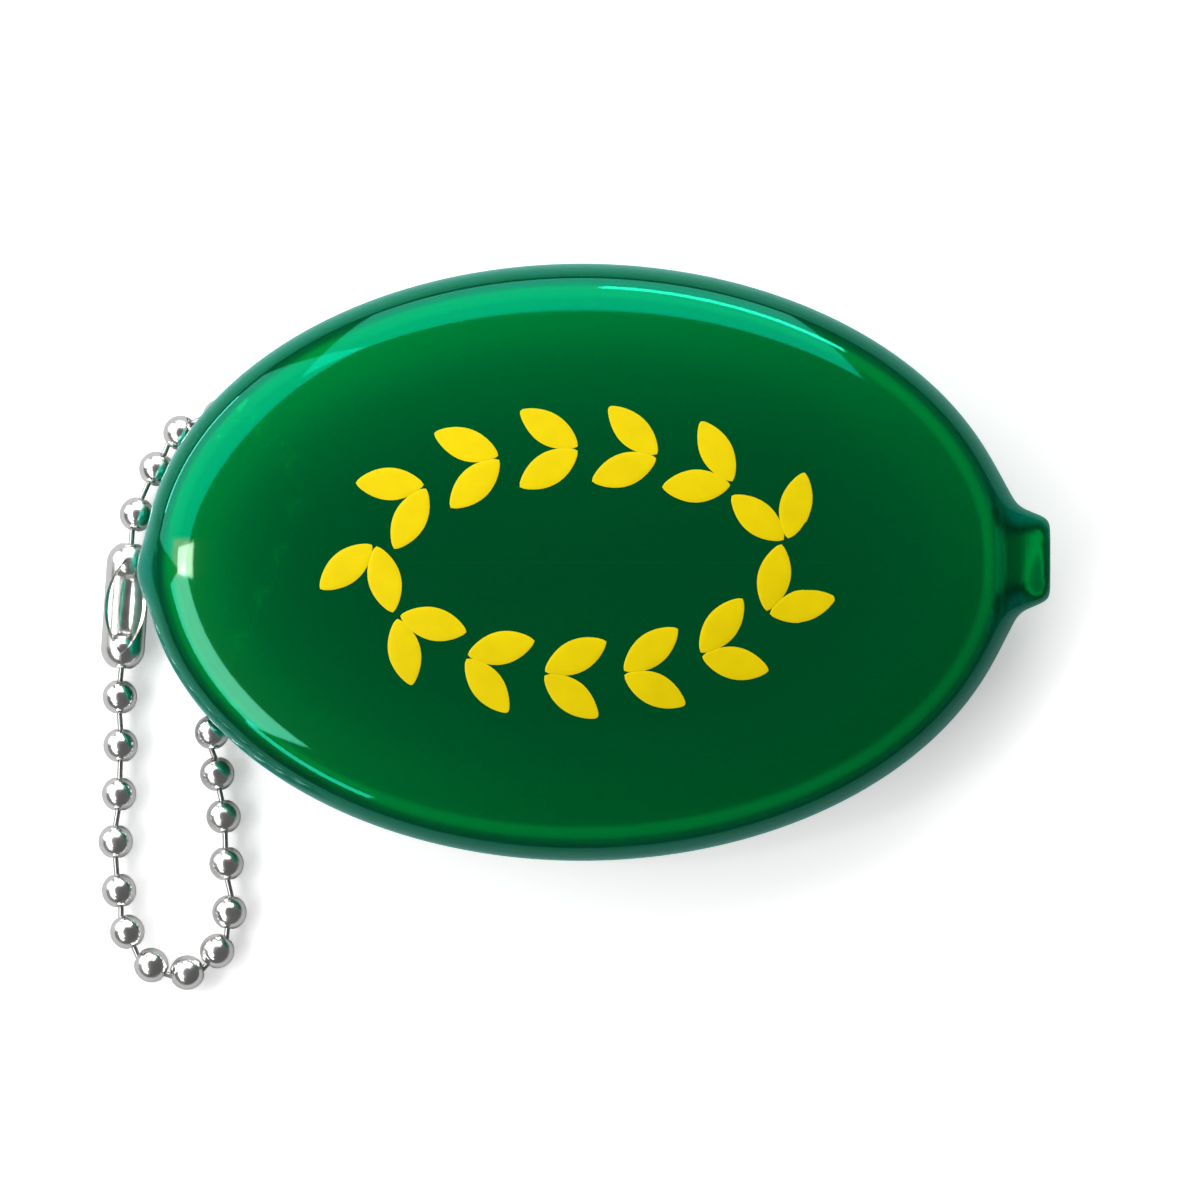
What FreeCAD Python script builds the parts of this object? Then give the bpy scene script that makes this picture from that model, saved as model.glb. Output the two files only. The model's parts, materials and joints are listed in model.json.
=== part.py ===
import FreeCAD, Part
import math
import os
import re

# Squeeze coin purse with a ball chain, lying on its back with its front up.
# The origin is the middle of the flat back, on the surface that the purse lies on.
# X runs along the oval, Y across it and Z up through the front.

DRIVING_SIZES = {
    # Moulded vinyl body
    "purse_length": 80.0,
    "purse_width": 54.7,
    "wall": 1.7,
    "back_depth": 7.2,
    "back_shoulder": 6.0,
    "front_depth": 7.2,
    "front_shoulder": 5.9,
    "front_shoulder_rise": 4.7,
    # Slit and the lips beside it
    "slit_end_land": 12.0,
    "slit_gap": 0.3,
    "lip_gap": 0.2,
    # Moulding neck at the right end
    "neck_reach": 2.9,
    "neck_width": 8.4,
    "neck_depth": 5.2,
    "neck_rise": 0.25,
    # Swelling at the left end
    "tip_reach": 0.8,
    "tip_width": 7.2,
    "tip_depth": 4.6,
    "tip_root": 3.0,
    "tip_drop": 0.9,
    # Ball chain
    "bead_diameter": 3.2,
    "bead_wall": 0.28,
    "bead_hole": 0.8,
    "bead_pitch": 4.52,
    "link_wire": 0.5,
    "link_head": 0.9,
    "link_head_thickness": 0.2,
    "link_seat": 0.7,
    "upper_hole_rise": 11.9,
    "lower_hole_drop": 13.5,
    "chain_hole_clearance": 0.5,
    # Clasp that joins the two end beads
    "clasp_sheet": 0.3,
    "clasp_clearance": 0.12,
    "clasp_mouth": 1.7,
    "clasp_window_length": 8.9,
    "clasp_window_width": 4.3,
    # How far every cutting solid runs past what it cuts
    "overrun": 2.0,
}

# Turns along the rounded shoulders, in degrees from the parting line.
BACK_TURNS = (90, 60, 30)
FRONT_TURNS = (25, 50, 75)
# How much of the front is left inside each section of the crown.
CROWN_SHARES = (0.72, 0.45, 0.2)

# Sections of the neck from inside the body to its end: how far out, how wide and how deep.
NECK_SECTION_SHARES = (
    (-1.20, 1.95, 1.20),
    (-0.45, 1.72, 1.16),
    (-0.10, 1.33, 1.10),
    (0.10, 1.17, 1.05),
    (0.28, 1.08, 1.02),
    (0.50, 1.04, 1.00),
    (0.80, 0.96, 0.98),
    (0.94, 0.85, 0.88),
    (1.00, 0.70, 0.70),
)

# Bead places in pitches: right of the purse's left outline, up from its middle and above the surface.
# Beads beyond the two chain holes are measured from the outline at the nearer hole.
# The chain runs from the clasp's upper end over the top, through the purse and round the loop.
CHAIN_PLACE_SHARES = (
    ("clasp_upper", -0.38, -0.02, 0.00),
    ("top_outer", -0.33, 0.98, 0.02),
    ("top_middle", -0.27, 1.91, 0.00),
    ("top_anchor", -0.20, 2.64, 0.13),
    ("inner_1", 0.62, 2.97, 0.44),
    ("inner_2", 1.56, 2.71, 0.64),
    ("inner_3", 2.55, 1.99, 0.64),
    ("inner_4", 2.96, 1.06, 0.54),
    ("inner_5", 2.80, 0.13, 0.50),
    ("inner_6", 2.36, -0.76, 0.48),
    ("inner_7", 1.68, -1.64, 0.48),
    ("inner_8", 0.79, -2.52, 0.42),
    ("low_anchor", 0.17, -3.46, 0.15),
    ("right_2", 0.27, -4.31, 0.00),
    ("right_3", 0.40, -5.18, 0.00),
    ("right_4", 0.46, -6.14, 0.00),
    ("right_5", 0.52, -7.13, 0.00),
    ("right_6", 0.27, -7.92, 0.00),
    ("bottom_2", -0.34, -8.36, 0.00),
    ("bottom_1", -1.07, -8.21, 0.00),
    ("left_6", -1.56, -7.53, 0.00),
    ("left_5", -1.73, -6.69, 0.00),
    ("left_4", -1.80, -5.69, 0.00),
    ("left_3", -1.73, -4.72, 0.00),
    ("left_2", -1.70, -3.73, 0.00),
    ("left_1", -1.52, -2.74, 0.00),
)

# How far apart the clasp holds the two end beads, in pitches.
CLASP_SPAN_SHARE = 1.735

Vector = FreeCAD.Vector
document = FreeCAD.newDocument("squeeze_coin_purse")


def make_sheet():
    """Put the driving sizes in a spreadsheet, one named cell each."""
    sheet = document.addObject("Spreadsheet::Sheet", "Sizes")
    for row, (name, value) in enumerate(DRIVING_SIZES.items(), start=1):
        sheet.set(f"A{row}", name)
        sheet.set(f"B{row}", str(value))
        sheet.setAlias(f"B{row}", name)
    document.recompute()
    return sheet


sheet = make_sheet()


def size(name):
    """One driving size, in millimetres."""
    return float(sheet.get(name))


def cells(text):
    """An expression in which each driving size is read from the sheet."""
    def cell(found):
        word = found.group()
        return f"Sizes.{word}" if word in DRIVING_SIZES else word

    return re.sub(r"[a-z_]+", cell, text)


def add(kind, name, **bindings):
    """A document object whose properties are bound to the sheet."""
    made = document.addObject(kind, name)
    for prop, text in bindings.items():
        made.setExpression(prop.replace("__", "."), cells(text))
    return made


def join(kind, name, base, tool):
    """A boolean of two objects."""
    made = document.addObject(kind, name)
    made.Base = base
    made.Tool = tool
    return made


def fuse(name, shapes):
    made = document.addObject("Part::MultiFuse", name)
    made.Shapes = shapes
    return made


def loft(name, sections):
    made = document.addObject("Part::Loft", name)
    made.Sections = sections
    made.Solid = True
    made.Ruled = False
    made.MaxDegree = 3
    return made


def level_ellipse(name, half_length, half_width, height):
    """A level section of the body, centred over the origin."""
    return add(
        "Part::Ellipse", name,
        MajorRadius=half_length, MinorRadius=half_width, Placement__Base__z=height,
    )


def pillow(name, inset):
    """The oval body, made smaller all round by the inset, as a loft from its back to its crown."""
    half_length = f"purse_length / 2 - {inset}"
    half_width = f"purse_width / 2 - {inset}"
    sections = []

    def section(round_in, height):
        sections.append(level_ellipse(
            f"{name}_section_{len(sections)}",
            f"{half_length} - {round_in}", f"{half_width} - {round_in}", height,
        ))

    for turn in BACK_TURNS:
        round_in = f"(back_shoulder - {inset}) * (1 - cos({turn}))"
        section(round_in, f"back_depth - (back_depth - {inset}) * sin({turn})")
    section("0", "back_depth")
    for turn in FRONT_TURNS:
        round_in = f"(front_shoulder - {inset}) * (1 - cos({turn}))"
        section(round_in, f"back_depth + (front_shoulder_rise - {inset}) * sin({turn})")
    edge_in = f"(front_shoulder - {inset}) * (1 - cos({FRONT_TURNS[-1]}))"
    edge_rise = f"(front_shoulder_rise - {inset}) * sin({FRONT_TURNS[-1]})"
    for share in CROWN_SHARES:
        crown_drop = f"(front_depth - {inset} - {edge_rise}) * {share} ^ 2"
        sections.append(level_ellipse(
            f"{name}_section_{len(sections)}",
            f"({half_length} - {edge_in}) * {share}",
            f"({half_width} - {edge_in}) * {share}",
            f"back_depth + front_depth - {inset} - {crown_drop}",
        ))
    return loft(name, sections)


def upright_ellipse(name, half_width, half_depth, along):
    """A section across the neck, centred on the parting line."""
    made = add(
        "Part::Ellipse", name,
        MajorRadius=half_width, MinorRadius=half_depth,
        Placement__Base__x=along, Placement__Base__y="neck_rise", Placement__Base__z="back_depth",
    )
    made.Placement.Rotation = FreeCAD.Rotation(Vector(0, 1, 0), Vector(0, 0, 1), Vector(1, 0, 0), "XYZ")
    return made


def make_neck():
    """The moulding neck: a flared stub with a flat, rounded end."""
    sections = []
    for out, wide, deep in NECK_SECTION_SHARES:
        sections.append(upright_ellipse(
            f"neck_section_{len(sections)}", f"neck_width / 2 * {wide}", f"neck_depth / 2 * {deep}",
            f"purse_length / 2 + neck_reach * {out}",
        ))
    return loft("neck", sections)


def make_tip():
    """The low swelling at the left end."""
    made = add(
        "Part::Ellipsoid", "tip",
        Radius1="tip_depth / 2", Radius2="tip_root + tip_reach", Radius3="tip_width / 2",
        Placement__Base__x="tip_root - purse_length / 2", Placement__Base__y="- tip_drop",
        Placement__Base__z="back_depth",
    )
    made.Angle1 = -90
    made.Angle2 = 90
    made.Angle3 = 360
    return made


def left_outline(rise):
    """Where the oval's left outline lies, so far up from its middle, between the two chain holes."""
    rise = max(-size("lower_hole_drop"), min(size("upper_hole_rise"), rise))
    flatness = math.sqrt(1 - (2 * rise / size("purse_width")) ** 2)
    return -size("purse_length") / 2 * flatness


def chain_places():
    """The bead centres in order, from the clasp's upper end round to its lower end."""
    pitch = size("bead_pitch")
    rest_height = size("bead_diameter") / 2
    places = []
    for _, right, up, above in CHAIN_PLACE_SHARES:
        rise = up * pitch
        places.append(Vector(left_outline(rise) + right * pitch, rise, rest_height + above * pitch))
    places[0].z += size("clasp_clearance") + size("clasp_sheet")
    toward = places[-1] - places[0]
    toward.z = 0
    places.append(places[0] + toward.normalize() * CLASP_SPAN_SHARE * pitch)
    return places


def chain_names():
    return [name for name, *_ in CHAIN_PLACE_SHARES] + ["clasp_lower"]


def bead_axes(places):
    """Each bead's axis halves the turn of the chain at that bead."""
    axes = []
    for number, place in enumerate(places):
        before = places[max(number - 1, 0)]
        after = places[min(number + 1, len(places) - 1)]
        way_in = (place - before).normalize() if number else Vector()
        way_out = (after - place).normalize() if place != after else Vector()
        axes.append((way_in + way_out).normalize())
    return axes


def along(axis, base):
    """A placement whose own Z axis lies along the given axis."""
    return FreeCAD.Placement(base, FreeCAD.Rotation(Vector(0, 0, 1), axis))


def hole_middle():
    """How far the middle of a bead's hole lies from the bead's centre."""
    return size("bead_diameter") / 2 - size("bead_wall") / 2


def chain_hole(name, outer_place, inner_place):
    """A round hole through the shoulder, along the chain that goes through it."""
    radius = size("bead_diameter") / 2 + size("chain_hole_clearance")
    way = inner_place - outer_place
    made = add("Part::Cylinder", name, Radius="bead_diameter / 2 + chain_hole_clearance")
    made.Height = way.Length + 3 * radius
    way.normalize()
    made.Placement = along(way, outer_place - way * radius)
    return made


SLIT_LENGTH = "(purse_length - 2 * slit_end_land)"


def lip_zone(name, side):
    """The box that one lip fills: from the slit to past the rim, below the parting line."""
    low = "slit_gap / 2" if side > 0 else "- purse_width / 2 - overrun"
    return add(
        "Part::Box", name,
        Length=SLIT_LENGTH, Width="purse_width / 2 + overrun - slit_gap / 2",
        Height="back_depth + overrun - lip_gap / 2",
        Placement__Base__x=f"- {SLIT_LENGTH} / 2", Placement__Base__y=low,
        Placement__Base__z="- overrun",
    )


def make_body():
    """The hollow body: one shell with the two lips of its slit cut free."""
    outside = fuse("outside", [pillow("outer_pillow", "0"), make_neck(), make_tip()])
    hollow = join("Part::Cut", "hollow", outside, pillow("coin_space", "wall"))
    places = dict(zip(chain_names(), chain_places()))
    holes = fuse("chain_holes", [
        chain_hole("upper_chain_hole", places["top_anchor"], places["inner_1"]),
        chain_hole("lower_chain_hole", places["low_anchor"], places["inner_8"]),
    ])
    lips_window = add(
        "Part::Box", "lips_window",
        Length=f"{SLIT_LENGTH} + 2 * lip_gap", Width="purse_width + 2 * overrun",
        Height="back_depth + overrun + lip_gap / 2",
        Placement__Base__x=f"- {SLIT_LENGTH} / 2 - lip_gap",
        Placement__Base__y="- purse_width / 2 - overrun", Placement__Base__z="- overrun",
    )
    cutters = fuse("shell_cutters", [holes, lips_window])
    return [
        join("Part::Cut", "purse_shell", hollow, cutters),
        join("Part::Common", "upper_lip", hollow, lip_zone("upper_zone", 1)),
        join("Part::Common", "lower_lip", hollow, lip_zone("lower_zone", -1)),
    ]


def make_bead(name, place, axis):
    """A hollow bead with a hole at each end of its axis."""
    ball = add("Part::Sphere", f"{name}_ball", Radius="bead_diameter / 2")
    room = add("Part::Sphere", f"{name}_room", Radius="bead_diameter / 2 - bead_wall")
    hole = add(
        "Part::Cylinder", f"{name}_hole",
        Radius="bead_hole / 2", Height="bead_diameter + 2 * overrun",
        Placement__Base__z="- bead_diameter / 2 - overrun",
    )
    bead = join("Part::Cut", name, ball, fuse(f"{name}_inside", [room, hole]))
    bead.Placement = along(axis, place)
    return bead


LINK_REACH = "(bead_pitch - bead_diameter + bead_wall) / 2 + link_seat"


def make_link(name, start, end):
    """A wire through the facing holes of two beads, with a flat head inside each bead."""
    wire = add(
        "Part::Cylinder", f"{name}_wire",
        Radius="link_wire / 2", Height=f"2 * ({LINK_REACH})",
        Placement__Base__z=f"- ({LINK_REACH})",
    )
    heads = []
    for side, sign in (("start", "-"), ("end", "+")):
        heads.append(add(
            "Part::Cylinder", f"{name}_{side}_head",
            Radius="link_head / 2", Height="link_head_thickness",
            Placement__Base__z=f"0 {sign} ({LINK_REACH}) - link_head_thickness / 2",
        ))
    link = fuse(name, [wire, *heads])
    link.Placement = along((end - start).normalize(), (start + end) / 2)
    return link


def make_chain():
    """The beads in order, and the link between each bead and the next."""
    places = chain_places()
    axes = bead_axes(places)
    names = chain_names()
    reach = hole_middle()
    nodes = []
    for name, place, axis in zip(names, places, axes):
        nodes.append(make_bead(f"bead_{name}", place, axis))
    for number in range(len(places) - 1):
        start = places[number] + axes[number] * reach
        end = places[number + 1] - axes[number + 1] * reach
        nodes.append(make_link(f"link_{number + 1:02d}", start, end))
    return nodes


CLASP_SPAN = f"(bead_pitch * {CLASP_SPAN_SHARE})"


def capsule(name, radius):
    """A rod with round ends, centred on the two end beads."""
    rod = add(
        "Part::Cylinder", f"{name}_rod", Radius=radius, Height=CLASP_SPAN,
        Placement__Base__z=f"- {CLASP_SPAN} / 2",
    )
    lower = add("Part::Sphere", f"{name}_lower", Radius=radius, Placement__Base__z=f"- {CLASP_SPAN} / 2")
    upper = add("Part::Sphere", f"{name}_upper", Radius=radius, Placement__Base__z=f"{CLASP_SPAN} / 2")
    return fuse(name, [rod, lower, upper])


def clasp_window():
    """An almond through one side of the clasp: where two wide cylinders meet."""
    half_length = "clasp_window_length / 2"
    half_width = "clasp_window_width / 2"
    bow = f"(({half_length}) ^ 2 + ({half_width}) ^ 2) / clasp_window_width"
    sides = []
    for side, sign in (("left", "-"), ("right", "+")):
        made = add(
            "Part::Cylinder", f"window_{side}", Radius=bow, Height="bead_diameter + overrun",
            Placement__Base__y=f"0 {sign} ({bow} - {half_width})",
        )
        made.Placement.Rotation = FreeCAD.Rotation(Vector(0, 0, 1), Vector(1, 0, 0))
        sides.append(made)
    return join("Part::Common", "clasp_window", *sides)


def make_clasp():
    """A rolled sheet tube, drawn in at both ends, with an almond window on top."""
    fit = "bead_diameter / 2 + clasp_clearance"
    mouth = add(
        "Part::Cylinder", "clasp_mouths", Radius="clasp_mouth / 2",
        Height=f"{CLASP_SPAN} + 2 * bead_diameter",
        Placement__Base__z=f"- {CLASP_SPAN} / 2 - bead_diameter",
    )
    cutters = fuse("clasp_cutters", [capsule("clasp_inside", fit), mouth, clasp_window()])
    clasp = join("Part::Cut", "clasp", capsule("clasp_outside", f"{fit} + clasp_sheet"), cutters)
    places = chain_places()
    way = (places[-1] - places[0]).normalize()
    turned = FreeCAD.Rotation(Vector(0, 0, 1), way.cross(Vector(0, 0, 1)), way, "ZXY")
    clasp.Placement = FreeCAD.Placement((places[0] + places[-1]) / 2, turned)
    return clasp


def check(nodes):
    """Stop before writing if any object failed or any sub-part is not a sound solid."""
    for made in document.Objects:
        if "Invalid" in made.State or "Error" in made.State:
            raise RuntimeError(f"{made.Name} failed: {made.State}")
    for node in nodes:
        if node.Shape.isNull() or not node.Shape.isValid() or len(node.Shape.Solids) != 1:
            raise RuntimeError(f"{node.Label} is not one sound solid")


def write(nodes):
    os.makedirs("parts", exist_ok=True)
    for node in nodes:
        node.Shape.exportStep(f"parts/{node.Label}.step")
        print(f"{node.Label}: {node.Shape.Volume:.2f} cubic mm")


def main():
    nodes = [*make_body(), *make_chain(), make_clasp()]
    document.recompute()
    check(nodes)
    write(nodes)


main()
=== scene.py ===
# %% [markdown]
# # A squeeze coin purse on a ball chain
# The purse is one oval moulding of clear green vinyl, slit along its back, so that a squeeze on both
# ends opens it like a mouth. A ball chain goes in and out of its left end and is closed by a rolled
# steel clasp. The CAD model gives every size and joint; this lesson dresses it for the photograph.

# %% Load the CAD frame
import json
import bpy
import numpy as np
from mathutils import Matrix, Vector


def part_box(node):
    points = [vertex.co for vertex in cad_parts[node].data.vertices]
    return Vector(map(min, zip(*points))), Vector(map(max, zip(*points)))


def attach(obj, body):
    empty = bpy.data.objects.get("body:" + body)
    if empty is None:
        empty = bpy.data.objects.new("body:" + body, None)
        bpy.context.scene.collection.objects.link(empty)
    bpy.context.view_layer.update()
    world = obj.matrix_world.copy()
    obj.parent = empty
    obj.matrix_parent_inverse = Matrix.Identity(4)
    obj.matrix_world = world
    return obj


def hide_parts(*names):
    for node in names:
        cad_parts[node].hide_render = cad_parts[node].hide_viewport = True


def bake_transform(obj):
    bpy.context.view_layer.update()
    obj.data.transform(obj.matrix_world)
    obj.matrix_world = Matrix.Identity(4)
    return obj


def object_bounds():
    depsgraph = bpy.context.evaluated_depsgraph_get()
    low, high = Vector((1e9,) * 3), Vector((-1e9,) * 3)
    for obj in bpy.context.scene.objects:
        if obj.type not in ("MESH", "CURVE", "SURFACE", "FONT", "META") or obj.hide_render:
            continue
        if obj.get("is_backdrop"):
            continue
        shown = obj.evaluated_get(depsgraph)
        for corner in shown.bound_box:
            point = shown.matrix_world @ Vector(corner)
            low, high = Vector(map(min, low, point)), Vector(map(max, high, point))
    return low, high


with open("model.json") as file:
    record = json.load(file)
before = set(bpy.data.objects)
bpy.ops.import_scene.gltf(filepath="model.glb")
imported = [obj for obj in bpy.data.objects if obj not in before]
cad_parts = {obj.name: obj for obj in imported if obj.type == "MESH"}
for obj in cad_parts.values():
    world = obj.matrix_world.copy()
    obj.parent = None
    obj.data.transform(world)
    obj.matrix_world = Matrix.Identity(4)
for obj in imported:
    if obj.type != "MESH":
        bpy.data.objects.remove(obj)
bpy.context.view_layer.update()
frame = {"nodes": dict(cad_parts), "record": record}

# %% [markdown]
# ## Grids of points
# Every new piece here is a surface worked out on a grid of two parameters, in millimetres, the unit
# of the workshop. One helper turns a few such grids into a mesh. It welds the points that coincide,
# so that a closed curve or a pole leaves no seam, and shades the result smooth apart from real edges.

# %% A mesh from grids of points
MM = 0.001


def grid_corners(rows, columns, first, flip):
    """The corners of the faces of a grid: each point, the next in its row, and both in the row after."""
    row, column = np.meshgrid(np.arange(rows - 1), np.arange(columns - 1), indexing="ij")
    a = first + (row * columns + column).ravel()
    corners = np.stack([a, a + 1, a + columns + 1, a + columns], axis=1)
    return corners[:, ::-1] if flip else corners


def faces_of(corners):
    """Four-cornered faces, and three-cornered ones where two neighbouring corners were welded into one."""
    same = corners == np.roll(corners, -1, axis=1)
    faces = corners[same.sum(axis=1) == 0].tolist()
    for side in range(4):
        folded = corners[(same.sum(axis=1) == 1) & same[:, side]]
        faces += np.delete(folded, side, axis=1).tolist()
    return faces


def make_piece(name, grids, material, sharp=40):
    """A smooth mesh object from (points, flip) grids in millimetres, welded where points coincide.
    A point that is not a number is a blank, and the faces round it are left out."""
    points = np.concatenate([grid.reshape(-1, 3) for grid, _ in grids])
    first = np.cumsum([0] + [grid[..., 0].size for grid, _ in grids])
    corners = np.concatenate([
        grid_corners(*grid.shape[:2], start, flip) for (grid, flip), start in zip(grids, first)
    ])
    corners = corners[np.isfinite(points).all(axis=1)[corners].all(axis=1)]
    places = np.round(np.nan_to_num(points) / 1e-4).astype(int)
    _, kept, welded = np.unique(places, axis=0, return_index=True, return_inverse=True)
    used, numbers = np.unique(welded.reshape(-1)[corners], return_inverse=True)
    mesh = bpy.data.meshes.new(name)
    mesh.from_pydata((points[kept[used]] * MM).tolist(), [], faces_of(numbers.reshape(-1, 4)))
    mesh.polygons.foreach_set("use_smooth", np.ones(len(mesh.polygons), dtype=bool))
    mesh.set_sharp_from_angle(angle=np.radians(sharp))
    mesh.materials.append(material)
    piece = bpy.data.objects.new(name, mesh)
    bpy.context.scene.collection.objects.link(piece)
    return piece


print("a grid of 3 by 4 points has", len(grid_corners(3, 4, 0, False)), "faces")

# %% [markdown]
# ## Clear green vinyl
# The moulding is plasticised vinyl, dyed right through and polished by its mould. Light that crosses a
# wall is coloured by it, and light that meets it from outside is mirrored by the glossy skin. So the
# shader is part glass and part body colour, with the dye as its colour and a sheen on its edges. Into the
# dye's colour are painted rim light and shade by the distance in from the outline, and painted light
# towards the window. Every point carries those looks as numbers, which the shader reads. Slow noise keeps
# the dye from being even.

# %% A node material and its helpers
def new_material(name):
    """A node material: the material itself, its nodes, its links and its Principled shader."""
    material = bpy.data.materials.new(name)
    material.use_nodes = True
    nodes, links = material.node_tree.nodes, material.node_tree.links
    return material, nodes, links, nodes["Principled BSDF"]


def add_noise(nodes, links, scale, detail=2.0):
    """Noise on the object's own coordinates, with its scale in waves per metre."""
    place = nodes.new("ShaderNodeTexCoord")
    noise = nodes.new("ShaderNodeTexNoise")
    noise.inputs["Scale"].default_value = scale
    noise.inputs["Detail"].default_value = detail
    links.new(place.outputs["Object"], noise.inputs["Vector"])
    return noise


def add_ramp(nodes, links, source, low, high):
    """A ramp of colour between the low and high values of a noise, which mostly lie between 0.3 and 0.7."""
    ramp = nodes.new("ShaderNodeValToRGB")
    first, last = ramp.color_ramp.elements
    first.position, last.position = 0.3, 0.7
    first.color, last.color = (*low, 1), (*high, 1)
    links.new(source.outputs["Fac"], ramp.inputs["Fac"])
    return ramp


def carried(nodes, name):
    """The number that every point of a piece carries under a name."""
    source = nodes.new("ShaderNodeAttribute")
    source.attribute_name = name
    return source.outputs["Fac"]


def times(nodes, links, colour, factor):
    """A colour times another colour or a number."""
    product = nodes.new("ShaderNodeMix")
    product.data_type, product.blend_type = "RGBA", "MULTIPLY"
    product.inputs["Factor"].default_value = 1.0
    links.new(colour, product.inputs["A"])
    links.new(factor, product.inputs["B"])
    return product.outputs["Result"]


vinyl, nodes, links, shader = new_material("clear_green_vinyl")
print(vinyl.name, "has a shader with", len(shader.inputs), "inputs")

# %% [markdown]
# ## The dye with painted rim light, and the mirror
# Seen from above, the rim of the purse is lit, the wall beside it is dark where it stands edge on, and the
# vinyl is light again just inside and deeper towards the middle. A ramp paints that light and shade into
# the dye's green: painted rim light, a painted dark ring, a painted bright ring and painted light fading
# inwards, read by the distance in from the outline in millimetres. The glossy skin mirrors the room with a
# green tint. In a small zone at the left end, where a bare window pane shows, the tint is nearly white, and
# below that zone it lies between the two.

# %% Dye with painted rim light and shade by distance, and a tinted mirror
RIM_REACH = 30.0
DYE_AND_RIM_LIGHT_STOPS = (
    (0.0, (0.0, 0.300, 0.194)), (0.5, (0.0, 0.250, 0.144)), (0.9, (0.0, 0.152, 0.065)),
    (1.4, (0.0, 0.058, 0.012)), (1.8, (0.0, 0.105, 0.019)), (2.3, (0.0, 0.445, 0.073)),
    (2.9, (0.0, 0.475, 0.080)), (3.4, (0.0, 0.250, 0.043)), (6.4, (0.0, 0.225, 0.042)),
    (9.0, (0.0, 0.190, 0.038)), (14.0, (0.0, 0.162, 0.033)), (27.0, (0.0, 0.141, 0.030)),
)


def dye_and_rim_light_ramp(nodes, links):
    """The dye's colour with painted rim light and shade, over the share of the way in from the outline that
    every vinyl point carries.
    """
    ramp = nodes.new("ShaderNodeValToRGB")
    stops = ramp.color_ramp.elements
    for distance, _ in DYE_AND_RIM_LIGHT_STOPS[2:]:
        stops.new(distance / RIM_REACH)
    for stop, (distance, colour) in zip(stops, DYE_AND_RIM_LIGHT_STOPS):
        stop.position = distance / RIM_REACH
        stop.color = (*colour, 1)
    links.new(carried(nodes, "way_in"), ramp.inputs["Fac"])
    return ramp


def tinted_mirror(nodes, links):
    """The tint of the mirror, from green to nearly white, by the number that tells how pale it is there."""
    tint = nodes.new("ShaderNodeMix")
    tint.data_type = "RGBA"
    tint.inputs["A"].default_value = (0.0, 1.0, 0.72, 1)
    tint.inputs["B"].default_value = (0.75, 1.0, 0.75, 1)
    links.new(carried(nodes, "pale_mirror"), tint.inputs["Factor"])
    return tint.outputs["Result"]


# The dye's green with its painted rim light and shade, times slow noise in the dye.
cloud = add_ramp(nodes, links, add_noise(nodes, links, 35), (0.94, 0.94, 0.94), (1.0, 1.0, 1.0))
dye_and_rim_light = times(nodes, links, dye_and_rim_light_ramp(nodes, links).outputs["Color"], cloud.outputs["Color"])
# Painted light: the dye is made lighter towards the window, most a few millimetres in from the rim.
lit_dye = times(nodes, links, dye_and_rim_light, carried(nodes, "window_light"))
links.new(lit_dye, shader.inputs["Base Color"])
links.new(tinted_mirror(nodes, links), shader.inputs["Specular Tint"])
shader.inputs["Transmission Weight"].default_value = 0.6
shader.inputs["Roughness"].default_value = 0.05
shader.inputs["IOR"].default_value = 1.58
shader.inputs["Specular IOR Level"].default_value = 1.0
shader.inputs["Sheen Weight"].default_value = 1.0
shader.inputs["Sheen Roughness"].default_value = 0.3
shader.inputs["Sheen Tint"].default_value = (0.0, 0.55, 0.5, 1)
print("vinyl nodes:", len(nodes))

# %% [markdown]
# ## The purse's oval skins
# The body is a stack of level ovals: a flat back, a rounded shoulder up to the widest line, where the
# mould parts, a second shoulder, and a low crown. A spline through a few such ovals gives each one its
# half-length, half-width and height. The same stack, made smaller by the wall, is the inside.

# %% The stack of ovals
HALF_LENGTH, HALF_WIDTH = 40.0, 27.35
WALL, PARTING = 1.7, 7.2
BACK_SHOULDER, FRONT_SHOULDER, SHOULDER_RISE, FRONT_DEPTH = 6.0, 5.9, 4.7, 7.2


def spline(stations, steps):
    """Natural cubic splines of all coordinates over the length along the stations, steps to a span."""
    along = np.concatenate([[0], np.cumsum(np.linalg.norm(np.diff(stations, axis=0), axis=1))])
    span = np.diff(along)
    inside = np.arange(1, len(along) - 1)
    matrix = np.eye(len(along))
    matrix[inside, inside - 1], matrix[inside, inside + 1] = span[:-1], span[1:]
    matrix[inside, inside] = 2 * (span[:-1] + span[1:])
    slope = np.diff(stations, axis=0) / span[:, None]
    bend = np.linalg.solve(matrix, np.pad(6 * np.diff(slope, axis=0), ((1, 1), (0, 0))))
    start = np.append(np.repeat(np.arange(len(span)), steps), len(span) - 1)
    u = np.append(np.tile(np.arange(steps) / steps, len(span)), 1.0)[:, None]
    h = span[start][:, None]
    cubic = ((1 - u) ** 3 - (1 - u)) * bend[start] + (u ** 3 - u) * bend[start + 1]
    return (1 - u) * stations[start] + u * stations[start + 1] + cubic * h ** 2 / 6


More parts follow.
